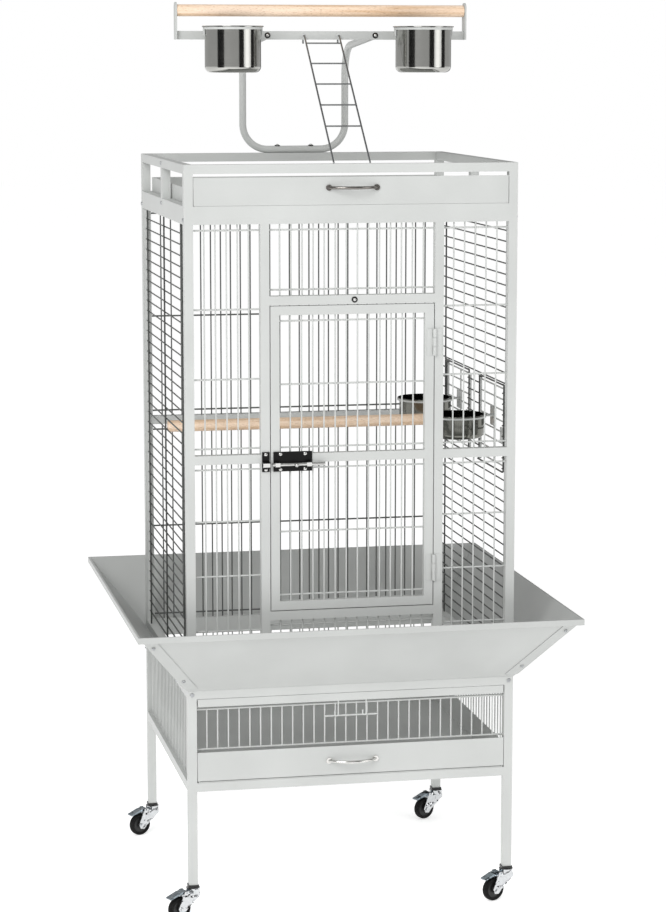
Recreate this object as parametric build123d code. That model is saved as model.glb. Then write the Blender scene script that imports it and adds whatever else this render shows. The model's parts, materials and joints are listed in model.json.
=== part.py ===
"""Bird cage on a wheeled stand, with a play top, seed guard, trays and swing-out feeders.

Millimetres. +Z is up, the front faces -Y, and the origin is on the floor under the middle of the cage.
Every sub-part is written as its own STEP file, at its place in the assembly.
"""
from build123d import *
import math
import os

# Overall sizes
WIDTH = 560.0            # outside width of the cage and stand frames
DEPTH = 528.0            # outside depth of the frames
TUBE = 15.0              # side of the square frame tube
LEG_END = 58.0           # floor to the leg ends: the height of a caster
STAND_TOP = 393.0        # top of the stand's upper rails, where the cage sits
CAGE_TOP = 1181.7        # top of the cage panels
PLAY_BOX_H = 82.3        # height of the frame that holds the play tray
APRON_RISE = 115.0       # height of the seed guard
APRON_OUT_X = 91.0       # how far the seed guard spreads to each side
APRON_OUT_Y = 98.0       # how far it spreads to front and back

# Wires
WIRE_R = 1.25            # bars of the cage
CROSS_R = 1.5            # cross wires welded behind the bars
WELD = 0.55              # how far crossing wires sink into each other
EMBED = 1.0              # how far a wire runs into a tube of its own panel
FRONT_SIDE_GAPS = 6      # gaps between bars in each side bay of the front
FRONT_MID_GAPS = 15      # gaps between bars above and below the door
DOOR_GAPS = 13
BACK_GAPS = 29
SIDE_PITCH = 18.3        # pitch of the level wires in the side panels
SIDE_WIRE_IN = 6.0       # from the outside of the frame to the side wires
BRACE_EDGE = 37.0        # from the outer braces of a side panel to the corner posts
GUARD_PITCH = 18.3       # pitch of the stand's wires
END_GAP = 10.0           # from a rail to the nearest cross wire

# Front panel and main door
MID_POST_X = 147.0       # centre of the posts beside the door
SILL_TOP = 522.0
HEADER_BOTTOM = 1033.5
BELT_Z = 779.5           # centre of the belt rails
DOOR_SIDE_GAP = 1.5      # between the door and its posts
DOOR_T = 12.0            # thickness of the door's tubes
HINGE_ZS = (587.0, 968.0)
HINGE_H = 45.0
HINGE_PIN_R = 1.6
KNUCKLE_R = 3.2
KNUCKLE_GAP = 0.4        # between the knuckles along the pin
HINGE_STAND = 3.5        # pin centre to the face of the frame
LEAF_W = 12.0
LEAF_T = 1.2
RUN_FIT = 0.06           # radial clearance of pins that turn or slide

# Slide bolt
BOLT_R = 3.0
BOLT_Z = 770.0
BOLT_TRAVEL = 14.0
BOLT_CLEAR = 1.5         # from the bolt to its plate
BAND_T = 1.8             # wall of the guides round the bolt
LATCH_PLATE = (-134.0, -69.0)      # left and right end of the plate on the door
LATCH_Z = (758.0, 791.0)
KEEPER_X = (-153.0, -140.5)
PLATE_T = 2.0

# Play box and its tray
SHEET = 1.2
PLAY_FACE_TOP = 61.2     # top of the drawer face above the cage
PLAY_WALL = 25.0
LEDGE_W = 8.0            # runners inside the side frames
LEDGE_T = 1.5
LEDGE_END = 1.0          # from the end of a ledge to the leg
SLIDE_GAP = 0.3          # under and beside what slides
SIDE_GAP = 1.5           # beside the trays
PULL_SPAN = 80.0
PULL_OUT = 21.0
PULL_R = 2.5

# Stand
LOW_RAIL_TOP = 234.0
TRAY_FACE = (237.0, 286.0)
TRAY_WALL = 46.0
GUARD_TOP = 358.5
GUARD_LOW = 289.5
GUARD_BAR_Z = 337.0
GRATE_Z = 365.5
GRATE_EDGE_R = 2.5
LIP_GAP = 0.7            # between the grate's lip and the rail above it

# Play stand
PLAY_TUBE_R = 6.35
TUBE_X = 94.5            # uprights of the bent tube
TUBE_BASE_BEND = 45.0
TUBE_TOP_BEND = 55.0
TUBE_SHOULDER = 190.0    # height of the upper bend above the play box
BAR_TOP = 1480.5
BAR_H = 14.5
BAR_T = 3.0
BAR_HALF = 254.5
STRIP_TOP = 1529.0
STRIP_D = 20.0
PERCH_R = 10.0
TOP_PERCH_Z = 1515.0
CAGE_PERCH_Z = 802.0
LADDER_X = 30.5
LADDER_R = 1.5
HOOK_R = 9.0
RUNG_FIRST = 18.0
RUNG_PITCH = 54.0
RUNGS = 5

# Cups
CUP_WALL = 1.0
PLAY_LIP = 4.5           # how far the rims stand out
FEED_LIP = 3.0
CUP_RIM_T = 1.8
PLAY_CUP_R = 47.5
PLAY_CUP_H = 78.0
PLAY_CUP_X = 165.0
PLAY_CUP_Y = -64.0
PLAY_CUP_TOP = 1488.5
FEED_CUP_R = 47.0
FEED_CUP_H = 40.0
FEED_CUP_TOP = 826.5
FEED_CUP_REACH = 64.6    # from the feeder door to the middle of its cup
RING_R = 1.5
RING_GAP = 0.4
PLAY_RING_W = 2.4        # width of the rings' walls
FEED_RING_W = 3.2

# Feeder doors in the right panel
FEEDER_INNER_Y = 37.0    # from the middle of the panel to the inner edge of a feeder opening
FEEDER_EDGE = 48.0       # from the outer edge of an opening to the corner post
FEEDER_Z = (735.0, 885.0)
FEEDER_ROD_R = 1.5
FEEDER_CLEAR = 0.4       # between the door's wires and the panel's

# Casters
STEM_X = (WIDTH - TUBE) / 2
STEM_Y = (DEPTH - TUBE) / 2
STEM_R = 4.0
STEM_L = 30.0
TRAIL = 27.0
WHEEL_R = 20.0
WHEEL_W = 16.0
AXLE_R = 3.0
CHEEK_T = 1.8
CHEEK_GAP = 1.0
CASTER_TURN = 202.0      # direction in which the wheels trail, from +X
BRAKE_PIVOT = (18.0, 48.0)         # along the trail, and height
BRAKE_PIN_R = 1.2
BRAKE_W = 15.0

# Derived places
HX = WIDTH / 2
HY = DEPTH / 2
IX = HX - TUBE
IY = HY - TUBE
TOP = CAGE_TOP + PLAY_BOX_H
LIP_TOP = STAND_TOP - TUBE - LIP_GAP
SIDE_WIRE_X = HX - SIDE_WIRE_IN
BRACE_X = SIDE_WIRE_X + WIRE_R + CROSS_R - WELD
FEEDER_X = BRACE_X + CROSS_R + FEEDER_CLEAR + FEEDER_ROD_R
FEEDER_W = IY - FEEDER_EDGE - FEEDER_INNER_Y
FEEDER_HINGE_YS = (-FEEDER_INNER_Y, IY - FEEDER_EDGE)
FEED_CUP_X = FEEDER_X - FEED_CUP_REACH
DOOR_HX = MID_POST_X - TUBE / 2 - DOOR_SIDE_GAP
DOOR_Z = (SILL_TOP + DOOR_SIDE_GAP, HEADER_BOTTOM - DOOR_SIDE_GAP)
HINGE_X = DOOR_HX + DOOR_SIDE_GAP / 2
HINGE_Y = -HY - HINGE_STAND
BOLT_Y = -HY - PLATE_T - BOLT_R - BOLT_CLEAR
BAR_MID_Z = BAR_TOP - BAR_H / 2
SWIVEL_TOP = LEG_END - 5.3


def box(x, y, z):
    """Block between the given (low, high) pairs."""
    block = Box(abs(x[1] - x[0]), abs(y[1] - y[0]), abs(z[1] - z[0]))
    return Pos(sum(x) / 2, sum(y) / 2, sum(z) / 2) * block


def rod(start, end, radius):
    """Round bar from start to end."""
    start = Vector(*start)
    along = Vector(*end) - start
    plane = Plane(origin=start, z_dir=along)
    return plane * Cylinder(radius, along.length, align=(Align.CENTER, Align.CENTER, Align.MIN))


def joined(parts):
    """One welded piece."""
    return parts[0] + parts[1:]


def spread(low, high, gaps):
    """Places of evenly spaced bars between two edges."""
    return [low + (high - low) * i / gaps for i in range(1, gaps)]


def gaps_for(length, pitch):
    return max(2, round(length / pitch))


def grille(xs, zs, y, cross_zs, behind):
    """Upright bars at xs between the two zs, with cross wires from the first to the last edge."""
    bars = [rod((x, y, zs[0] - EMBED), (x, y, zs[1] + EMBED), WIRE_R) for x in xs[1:-1]]
    cross_y = y + behind * (WIRE_R + CROSS_R - WELD)
    ends = (xs[0] - EMBED, xs[-1] + EMBED)
    bars += [rod((ends[0], cross_y, z), (ends[1], cross_y, z), CROSS_R) for z in cross_zs]
    return bars


def edges_and_bars(low, high, gaps):
    return [low] + spread(low, high, gaps) + [high]


# ---------------------------------------------------------------- stand

def stand_side(s):
    """Two legs with an upper and a lower rail, and the ledges that the grate and tray run on."""
    x = (s * IX, s * HX)
    legs = []
    for y in ((-HY, -IY), (IY, HY)):
        leg = box(x, y, (LEG_END, STAND_TOP))
        bore = rod((s * STEM_X, sum(y) / 2, LEG_END - 1), (s * STEM_X, sum(y) / 2, LEG_END + STEM_L + 1),
                   STEM_R + RUN_FIT)
        legs.append(leg - bore)
    rail_y = (-IY, IY)
    parts = legs
    parts.append(box(x, rail_y, (STAND_TOP - TUBE, STAND_TOP)))
    parts.append(box(x, rail_y, (LOW_RAIL_TOP - TUBE, LOW_RAIL_TOP)))
    inside = (s * (IX - LEDGE_W), s * IX)
    ledge_y = (-IY + LEDGE_END, IY - LEDGE_END)
    parts.append(box(inside, ledge_y, (LOW_RAIL_TOP - LEDGE_T, LOW_RAIL_TOP)))
    shelf = GRATE_Z - GRATE_EDGE_R - SLIDE_GAP
    parts.append(box(inside, ledge_y, (shelf - LEDGE_T, shelf)))
    parts.append(box((s * (IX - LEDGE_T), s * IX), ledge_y, (shelf - LEDGE_T, STAND_TOP - 2)))
    return joined(parts)


def stand_back():
    """Upper and lower back rails with the wires welded between them."""
    y = (IY, HY)
    low = box((-IX, IX), y, (LOW_RAIL_TOP - TUBE, LOW_RAIL_TOP))
    high = box((-IX, IX), y, (STAND_TOP - TUBE, STAND_TOP))
    xs = edges_and_bars(-IX, IX, gaps_for(2 * IX, GUARD_PITCH))
    wires = [rod((x, STEM_Y, LOW_RAIL_TOP - EMBED), (x, STEM_Y, STAND_TOP - TUBE + EMBED), WIRE_R)
             for x in xs[1:-1]]
    return joined([low, high] + wires)


def stand_rails_front():
    y = (-HY, -IY)
    low = box((-IX, IX), y, (LOW_RAIL_TOP - TUBE, LOW_RAIL_TOP))
    high = box((-IX, IX), y, (STAND_TOP - TUBE, STAND_TOP))
    return [low, high]


def guard_side(s):
    """Upright wires between the side rails, held by two stringers."""
    x = s * STEM_X
    ys = spread(-IY, IY, gaps_for(2 * IY, GUARD_PITCH))
    bars = [rod((x, y, LOW_RAIL_TOP), (x, y, STAND_TOP - TUBE), WIRE_R) for y in ys]
    inner = x - s * (WIRE_R + CROSS_R - WELD)
    for z in (LOW_RAIL_TOP + END_GAP, STAND_TOP - TUBE - END_GAP):
        bars.append(rod((inner, -IY, z), (inner, IY, z), CROSS_R))
    return joined(bars)


def guard_front():
    """Wire barrier between the grate and the tray, with a short hook bar at its middle."""
    y = -IY - 5.0
    gaps = gaps_for(2 * IX, GUARD_PITCH)
    xs = spread(-IX, IX, gaps)
    parts = [rod((-IX, y, GUARD_TOP), (IX, y, GUARD_TOP), 2.0)]
    parts.append(rod((-IX, y, GUARD_LOW), (IX, y, GUARD_LOW), 1.8))
    parts += [rod((x, y, GUARD_LOW), (x, y, GUARD_TOP), WIRE_R) for x in xs]
    half = 2.5 * 2 * IX / gaps
    front = y - WIRE_R - CROSS_R + WELD
    parts.append(rod((-half, front, GUARD_BAR_Z), (half, front, GUARD_BAR_Z), CROSS_R))
    return joined(parts)


def pull_hook(x):
    """Bent wire that hangs under the grate's lip and turns up at its end."""
    y = -HY + 1.0
    radius = 1.2
    bend = 3.0
    foot = GUARD_BAR_Z + 4.0
    down = rod((x, y, LIP_TOP - 12), (x, y, foot), radius)
    turn = Pos(x - bend, y, foot) * Rot(90, 0, 0) * Torus(bend, radius)
    half_turn = turn & box((x - 3 * bend, x + bend), (y - bend, y + bend), (foot - 2 * bend, foot))
    up = rod((x - 2 * bend, y, foot), (x - 2 * bend, y, foot + 6), radius)
    return [down, half_turn, up]


def grate():
    """Sliding wire floor of the cage with a folded front lip."""
    side = IX - LEDGE_T - SLIDE_GAP
    half = side - GRATE_EDGE_R
    y = (-HY + 4.0, IY - 4.0)
    parts = [box((-side, side), (-HY, -HY + 2.0), (LIP_TOP - 13, LIP_TOP))]
    for x in (-half, half):
        parts.append(rod((x, y[0], GRATE_Z), (x, y[1], GRATE_Z), GRATE_EDGE_R))
    for end in y:
        parts.append(rod((-half, end, GRATE_Z), (half, end, GRATE_Z), GRATE_EDGE_R))
    xs = spread(-half, half, gaps_for(2 * half, GUARD_PITCH))
    parts += [rod((x, y[0], GRATE_Z), (x, y[1], GRATE_Z), WIRE_R) for x in xs]
    under = GRATE_Z - WIRE_R - CROSS_R + WELD
    clear = IX - LEDGE_W - 1.0
    for end in spread(y[0], y[1], 4):
        parts.append(rod((-clear, end, under), (clear, end, under), CROSS_R))
    for x in (-24.0, 24.0):
        parts += pull_hook(x)
    return joined(parts)


def tray(half, y, floor_z, wall, face_z):
    """Folded sheet tray with a flush front face."""
    parts = [box((-half, half), (-HY, -HY + SHEET), face_z)]
    body = half - SIDE_GAP
    parts.append(box((-body, body), (-HY, y), (floor_z, floor_z + SHEET)))
    for s in (-1, 1):
        parts.append(box((s * (body - SHEET), s * body), (-HY, y), (floor_z, floor_z + wall)))
    parts.append(box((-body, body), (y - SHEET, y), (floor_z, floor_z + wall)))
    return joined(parts)


def pull(z):
    """Bow handle on two round feet."""
    face = -HY
    half = PULL_SPAN / 2
    path = ThreePointArc((-half, face - 1.0, z), (0, face - PULL_OUT + PULL_R, z), (half, face - 1.0, z))
    start = Plane(origin=path @ 0, z_dir=path % 0)
    bow = sweep(start * Circle(PULL_R), path=path)
    room = box((-PULL_SPAN, PULL_SPAN), (face - 2 * PULL_OUT, face), (z - 9, z + 9))
    feet = [rod((x, face, z), (x, face - 2.5, z), 5.0) for x in (-half, half)]
    return joined([bow & room] + feet)


# ---------------------------------------------------------------- seed guard

def ring_points(x, y, z):
    return [(x[0], y[0], z), (x[1], y[0], z), (x[1], y[1], z), (x[0], y[1], z)]


def ruled(low, high):
    """Solid between two level outlines."""
    faces = [make_face(Polyline(*points, close=True)) for points in (low, high)]
    return loft(faces, ruled=True)


APRON_LIP_T = 3.5
APRON_LIP_H = 10.0
APRON_SKIN = 1.6
STRIP_W = 20.0
STRIP_T = 1.2


def apron_end(axis):
    """Bottom and top distance of a seed guard panel from the middle, and their heights."""
    base = (HX, HY)[axis] + 0.2
    out = (APRON_OUT_X, APRON_OUT_Y)[axis]
    return base, base + out


def apron_front(s):
    """Front (s=-1) or back (s=1) panel of the seed guard with its hemmed rim."""
    bx, tx = apron_end(0)
    by, ty = apron_end(1)
    z = (STAND_TOP, STAND_TOP + APRON_RISE)
    low = ring_points((-bx, bx), sorted((s * by, s * (by + APRON_SKIN))), z[0])
    high = ring_points((-tx, tx), sorted((s * ty, s * (ty + APRON_SKIN))), z[1])
    skin = ruled(low, high)
    rim_x = tx + APRON_LIP_T
    rim = box((-rim_x, rim_x), (s * ty, s * (ty + APRON_LIP_T)), (z[1] - APRON_LIP_H, z[1]))
    return skin + rim


def apron_side(s):
    """Left (s=-1) or right (s=1) panel of the seed guard with its hemmed rim."""
    bx, tx = apron_end(0)
    by, ty = apron_end(1)
    z = (STAND_TOP, STAND_TOP + APRON_RISE)
    low = ring_points(sorted((s * bx, s * (bx + APRON_SKIN))), (-by, by), z[0])
    high = ring_points(sorted((s * tx, s * (tx + APRON_SKIN))), (-ty, ty), z[1])
    skin = ruled(low, high)
    rim = box((s * tx, s * (tx + APRON_LIP_T)), (-ty, ty), (z[1] - APRON_LIP_H, z[1]))
    return skin + rim


def strip_outline(x, y, sx, sy, z):
    """Angle section that wraps the outside of a seed guard corner."""
    a = APRON_SKIN + 0.1
    b = a + STRIP_T
    points = [(-STRIP_W, a), (a, a), (a, -STRIP_W), (b, -STRIP_W), (b, b), (-STRIP_W, b)]
    return [(x + sx * u, y + sy * v, z) for u, v in points]


def apron_corner_strips():
    """Screwed angle strips that join the four seed guard panels."""
    bx, tx = apron_end(0)
    by, ty = apron_end(1)
    z = (STAND_TOP, STAND_TOP + APRON_RISE)
    t0 = 0.04
    t1 = 1 - (APRON_LIP_H + 0.5) / APRON_RISE
    strips = []
    for sx in (-1, 1):
        for sy in (-1, 1):
            outlines = []
            for t in (t0, t1):
                x = sx * (bx + (tx - bx) * t)
                y = sy * (by + (ty - by) * t)
                outlines.append(strip_outline(x, y, sx, sy, z[0] + (z[1] - z[0]) * t))
            strips.append(ruled(*outlines))
    return strips


# ---------------------------------------------------------------- cage

def posts(y):
    z = (STAND_TOP, CAGE_TOP)
    return [box((s * IX, s * HX), y, z) for s in (-1, 1)]


def rails(x, y, zs):
    """Level tubes between x at each centre height."""
    return [box(x, y, (z - TUBE / 2, z + TUBE / 2)) for z in zs]


def cage_front():
    """Front panel: corner posts, door posts, rails and bars around the door opening."""
    y = (-HY, -IY)
    wire_y = -STEM_Y
    half = TUBE / 2
    ends = (STAND_TOP + half, CAGE_TOP - half)
    parts = posts(y)
    parts += [box((s * MID_POST_X - half, s * MID_POST_X + half), y, (STAND_TOP, CAGE_TOP)) for s in (-1, 1)]
    parts += rails((-IX, IX), y, ends)
    inner = MID_POST_X - half
    parts += rails((-inner, inner), y, (SILL_TOP - half, HEADER_BOTTOM + half))
    for s in (-1, 1):
        bay = sorted((s * (MID_POST_X + half), s * IX))
        parts += rails(bay, y, (BELT_Z,))
        xs = edges_and_bars(bay[0], bay[1], FRONT_SIDE_GAPS)
        low = (STAND_TOP + TUBE, BELT_Z - half)
        high = (BELT_Z + half, CAGE_TOP - TUBE)
        parts += grille(xs, low, wire_y, (low[0] + END_GAP, 490.0, 583.0, 675.0, low[1] - END_GAP), 1)
        parts += grille(xs, high, wire_y, (high[0] + END_GAP, 912.0, 1027.0, high[1] - END_GAP), 1)
    xs = edges_and_bars(-inner, inner, FRONT_MID_GAPS)
    low = (STAND_TOP + TUBE, SILL_TOP - TUBE)
    high = (HEADER_BOTTOM + TUBE, CAGE_TOP - TUBE)
    parts += grille(xs, low, wire_y, (low[0] + END_GAP, low[1] - END_GAP), 1)
    parts += grille(xs, high, wire_y, (high[0] + END_GAP, high[1] - END_GAP), 1)
    return joined(parts)


def cage_back():
    y = (IY, HY)
    half = TUBE / 2
    parts = posts(y)
    parts += rails((-IX, IX), y, (STAND_TOP + half, BELT_Z, CAGE_TOP - half))
    xs = edges_and_bars(-IX, IX, BACK_GAPS)
    low = (STAND_TOP + TUBE, BELT_Z - half)
    high = (BELT_Z + half, CAGE_TOP - TUBE)
    parts += grille(xs, low, STEM_Y, (low[0] + END_GAP, 583.0, low[1] - END_GAP), -1)
    parts += grille(xs, high, STEM_Y, (high[0] + END_GAP, 970.0, high[1] - END_GAP), -1)
    return joined(parts)


def side_wire_spans(z, openings):
    """Stretches of a level side wire, broken at the feeder openings."""
    spans = []
    start = -IY
    for low, high in openings:
        if FEEDER_Z[0] < z < FEEDER_Z[1]:
            spans.append((start, low))
            start = high
    spans.append((start, IY))
    return spans


def cage_side(s, openings):
    """Side panel: level wires between edge bars, with upright braces outside."""
    parts = rails((s * IX, s * HX), (-IY, IY), (STAND_TOP + TUBE / 2, CAGE_TOP - TUBE / 2))
    z = (STAND_TOP + TUBE, CAGE_TOP - TUBE)
    wire_x = s * SIDE_WIRE_X
    for side in (-1, 1):
        edge = (side * (IY - 0.8), side * (IY - 4.8))
        parts.append(box((wire_x - 4, wire_x + 4), edge, (z[0] - EMBED, z[1] + EMBED)))
    levels = spread(z[0], z[1], gaps_for(z[1] - z[0], SIDE_PITCH))
    for level in levels:
        for low, high in side_wire_spans(level, openings):
            low = max(low, -IY + 3)
            high = min(high, IY - 3)
            parts.append(rod((wire_x, low, level), (wire_x, high, level), WIRE_R))
    brace_x = s * BRACE_X
    for y in (-IY + BRACE_EDGE, 0.0, IY - BRACE_EDGE):
        parts.append(rod((brace_x, y, z[0] - EMBED), (brace_x, y, z[1] + EMBED), CROSS_R))
    for low, high in openings:
        for y in (low, high):
            parts.append(rod((brace_x, y, FEEDER_Z[0]), (brace_x, y, FEEDER_Z[1]), CROSS_R))
        for level in FEEDER_Z:
            parts.append(rod((wire_x, low, level), (wire_x, high, level), CROSS_R))
            for y in (low, high):
                parts.append(rod((wire_x, y, level), (brace_x, y, level), CROSS_R))
        parts += feeder_lugs(high)
    return joined(parts)


def feeder_lugs(y):
    """Two eyes that carry a feeder door's hinge rod."""
    lugs = []
    for z in (FEEDER_Z[0] + 3.0, FEEDER_Z[1] - 5.5):
        eye = box((BRACE_X - 1, FEEDER_X + 3.5), (y - 3.5, y + 3.5), (z, z + 2.5))
        lugs.append(eye - rod((FEEDER_X, y, z - 1), (FEEDER_X, y, z + 4), FEEDER_ROD_R + RUN_FIT))
    return lugs


# ---------------------------------------------------------------- main door

def main_door():
    """Door frame with a belt rail, bars and cross wires."""
    half = TUBE / 2
    y = (-HY, -HY + DOOR_T)
    inner = DOOR_HX - TUBE
    parts = [box((s * inner, s * DOOR_HX), y, DOOR_Z) for s in (-1, 1)]
    parts += rails((-inner, inner), y, (DOOR_Z[0] + half, BELT_Z, DOOR_Z[1] - half))
    xs = edges_and_bars(-inner, inner, DOOR_GAPS)
    low = (DOOR_Z[0] + TUBE, BELT_Z - half)
    high = (BELT_Z + half, DOOR_Z[1] - TUBE)
    wire_y = -HY + DOOR_T / 2
    for z in (low, high):
        middle = sum(z) / 2
        parts += grille(xs, z, wire_y, (z[0] + END_GAP, middle, z[1] - END_GAP), 1)
    return joined(parts)


def knuckle(z, height, bore):
    """Rolled part of a hinge leaf."""
    outside = rod((HINGE_X, HINGE_Y, z), (HINGE_X, HINGE_Y, z + height), KNUCKLE_R)
    if bore:
        outside -= rod((HINGE_X, HINGE_Y, z - 1), (HINGE_X, HINGE_Y, z + height + 1), HINGE_PIN_R + RUN_FIT)
    return outside


def hinge_spans(z):
    """Heights of the lower, middle and upper knuckle of a hinge centred at z."""
    third = HINGE_H / 3
    low = z - HINGE_H / 2
    return [(low + i * third + KNUCKLE_GAP / 2, low + (i + 1) * third - KNUCKLE_GAP / 2) for i in range(3)]


def fixed_hinge(z):
    """Leaf on the door post with two knuckles and the pin."""
    spans = hinge_spans(z)
    face = (-HY - LEAF_T, -HY)
    near = HINGE_X + DOOR_SIDE_GAP / 2
    far = near + LEAF_W
    clear = HINGE_X + KNUCKLE_R + KNUCKLE_GAP
    parts = [box((clear, far), face, (spans[0][0], spans[2][1]))]
    for low, high in (spans[0], spans[2]):
        parts.append(knuckle(low, high - low, False))
        parts.append(box((HINGE_X, far), (-HY - LEAF_T, -HY - 0.1), (low, high)))
    parts.append(rod((HINGE_X, HINGE_Y, spans[0][0]), (HINGE_X, HINGE_Y, spans[2][1]), HINGE_PIN_R))
    return joined(parts)


def door_hinge(z):
    """Leaf on the door stile with the middle knuckle."""
    spans = hinge_spans(z)
    near = HINGE_X - DOOR_SIDE_GAP / 2
    far = near - LEAF_W
    clear = HINGE_X - KNUCKLE_R - KNUCKLE_GAP
    low, high = spans[1]
    body = box((far, clear), (-HY - LEAF_T, -HY), (spans[0][0], spans[2][1]))
    tab = box((far, HINGE_X - HINGE_PIN_R - 0.3), (-HY - LEAF_T, -HY - 0.1), (low, high))
    return joined([body, tab, knuckle(low, high - low, True)])


# ---------------------------------------------------------------- slide bolt

def bolt_guide(x, y_back):
    """Raised band with a bore that the bolt runs through."""
    out = BOLT_R + BAND_T
    block = box(x, (y_back, BOLT_Y - out), (BOLT_Z - out, BOLT_Z + out))
    bore = rod((x[0] - 1, BOLT_Y, BOLT_Z), (x[1] + 1, BOLT_Y, BOLT_Z), BOLT_R + RUN_FIT)
    return block - bore


def latch_plate():
    """Plate on the door that carries the bolt in two guides."""
    x0, x1 = LATCH_PLATE
    face = (-HY - PLATE_T, -HY)
    parts = [box((x0, x1), face, LATCH_Z)]
    parts.append(bolt_guide((x0 + 2, x0 + 10), -HY - 1))
    parts.append(bolt_guide((x1 - 10, x1 - 2), -HY - 1))
    return joined(parts)


def latch_keeper():
    """Plate on the door post with the eye that takes the bolt."""
    x0, x1 = KEEPER_X
    parts = [box((x0, x1), (-HY - PLATE_T, -HY), LATCH_Z)]
    parts.append(bolt_guide((x0 + 0.5, x1 - 0.5), -HY - 1))
    return joined(parts)


def latch_bolt():
    """Round bolt with a finger knob, drawn back so that its tip is clear of the post."""
    tip = KEEPER_X[1] + 3.5
    end = LATCH_PLATE[1] + 7 + BOLT_TRAVEL
    knob_x = (LATCH_PLATE[0] + LATCH_PLATE[1]) / 2 + 4
    parts = [rod((tip, BOLT_Y, BOLT_Z), (end, BOLT_Y, BOLT_Z), BOLT_R)]
    parts.append(rod((knob_x, BOLT_Y, BOLT_Z), (knob_x, BOLT_Y - 9, BOLT_Z), 1.8))
    parts.append(Pos(knob_x, BOLT_Y - 10, BOLT_Z) * Sphere(3.6))
    parts.append(rod((end - 2, BOLT_Y, BOLT_Z), (end, BOLT_Y, BOLT_Z), 3.6))
    return joined(parts)


# ---------------------------------------------------------------- play box

def top_side(s):
    """Side frame of the play box with a centre strut and the tray's runner."""
    x = (s * IX, s * HX)
    z = (CAGE_TOP, TOP)
    parts = [box(x, y, z) for y in ((-HY, -IY), (IY, HY), (-TUBE / 2, TUBE / 2))]
    parts += rails(x, (-IY, IY), (CAGE_TOP + TUBE / 2, TOP - TUBE / 2))
    top = CAGE_TOP + TUBE
    ledge_y = (-IY + LEDGE_END, IY - LEDGE_END)
    parts.append(box((s * (IX - LEDGE_W), s * IX), ledge_y, (top - LEDGE_T, top)))
    return joined(parts)


def top_rails(y):
    return rails((-IX, IX), y, (CAGE_TOP + TUBE / 2, TOP - TUBE / 2))


def roof_grille():
    """Wire roof of the cage, inside the lower rails of the play box."""
    z = CAGE_TOP + TUBE / 2
    xs = spread(-IX, IX, gaps_for(2 * IX, GUARD_PITCH))
    parts = [rod((x, -IY, z), (x, IY, z), WIRE_R) for x in xs]
    under = z - WIRE_R - CROSS_R + WELD
    for y in (-IY + END_GAP, 0.0, IY - END_GAP):
        parts.append(rod((-IX, y, under), (IX, y, under), CROSS_R))
    return joined(parts)


# ---------------------------------------------------------------- play stand

def tube_run(points, bends):
    path = FilletPolyline(*points, radius=bends)
    start = Plane(origin=path @ 0, z_dir=path % 0)
    return sweep(start * Circle(PLAY_TUBE_R), path=path)


def play_tube():
    """Bent tube: a base on the back rail, two uprights and two arms to the bar."""
    y = STEM_Y
    base_z = TOP + PLAY_TUBE_R
    shoulder = TOP + TUBE_SHOULDER
    back = BAR_T / 2
    tab = 4.5
    points = [(0, y, base_z), (TUBE_X, y, base_z), (TUBE_X, y, shoulder), (TUBE_X, back + 3, BAR_MID_Z)]
    right = tube_run(points, [TUBE_BASE_BEND, TUBE_TOP_BEND])
    left = mirror(right, Plane.YZ)
    parts = [right, left]
    for s in (-1, 1):
        x = (s * TUBE_X - 7, s * TUBE_X + 7)
        parts.append(box(x, (back, back + tab), (BAR_MID_Z - 7, BAR_MID_Z + 7)))
    tube = joined(parts)
    front = box((-2 * TUBE_X, 2 * TUBE_X), (-50, back), (TOP, TOP + 300))
    tube -= front
    for s in (-1, 1):
        tube -= rod((s * TUBE_X, 0, BAR_MID_Z), (s * TUBE_X, 16, BAR_MID_Z), 2.5 + RUN_FIT)
    for x in BASE_BOLTS:
        tube -= rod((x, y, TOP - 1), (x, y, TOP + 2 * PLAY_TUBE_R + 1), 2.0 + RUN_FIT)
    return tube


BASE_BOLTS = (-31.0, 31.0)


def play_bar():
    """Flat bar with an upright strip at each end that holds the top perch."""
    y = (-BAR_T / 2, BAR_T / 2)
    parts = [box((-BAR_HALF, BAR_HALF), y, (BAR_TOP - BAR_H, BAR_TOP))]
    for s in (-1, 1):
        strip = box((s * (BAR_HALF - 3), s * BAR_HALF), (-STRIP_D / 2, STRIP_D / 2), (BAR_TOP - BAR_H, STRIP_TOP))
        parts.append(fillet(strip.edges().filter_by(Axis.X).group_by(Axis.Z)[-1], STRIP_D / 2 - 1))
    bar = joined(parts)
    for x in (-TUBE_X, TUBE_X):
        bar -= rod((x, -5, BAR_MID_Z), (x, 5, BAR_MID_Z), 2.5 + RUN_FIT)
    for x in (-LADDER_X, LADDER_X):
        bar -= rod((x, -5, BAR_MID_Z), (x, 5, BAR_MID_Z), LADDER_R + 0.8)
    return bar


def play_perch():
    inner = BAR_HALF - 3
    return rod((-inner, 0, TOP_PERCH_Z), (inner, 0, TOP_PERCH_Z), PERCH_R)


def cup_ring(s):
    """Ring on a bracket that holds a cup in front of the play bar."""
    z = PLAY_CUP_TOP - CUP_RIM_T - SLIDE_GAP
    x = s * PLAY_CUP_X
    ring = ring_band(x, PLAY_CUP_Y, z, PLAY_CUP_R, PLAY_RING_W, 4.0)
    face = -BAR_T / 2
    arm = box((x - 6.5, x + 6.5), (face - 2, PLAY_CUP_Y + PLAY_CUP_R + 1), (z - 3, z))
    plate = box((x - 14, x + 14), (face - 2, face), (BAR_TOP - BAR_H, z))
    tabs = []
    for side in (-1, 1):
        edge = x + side * (PLAY_CUP_R + RING_GAP + 0.3)
        tabs.append(box((edge, edge + side * 2.2), (PLAY_CUP_Y - 4, PLAY_CUP_Y + 4), (z - 14, z)))
    return joined([ring, arm, plate] + tabs)


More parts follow.
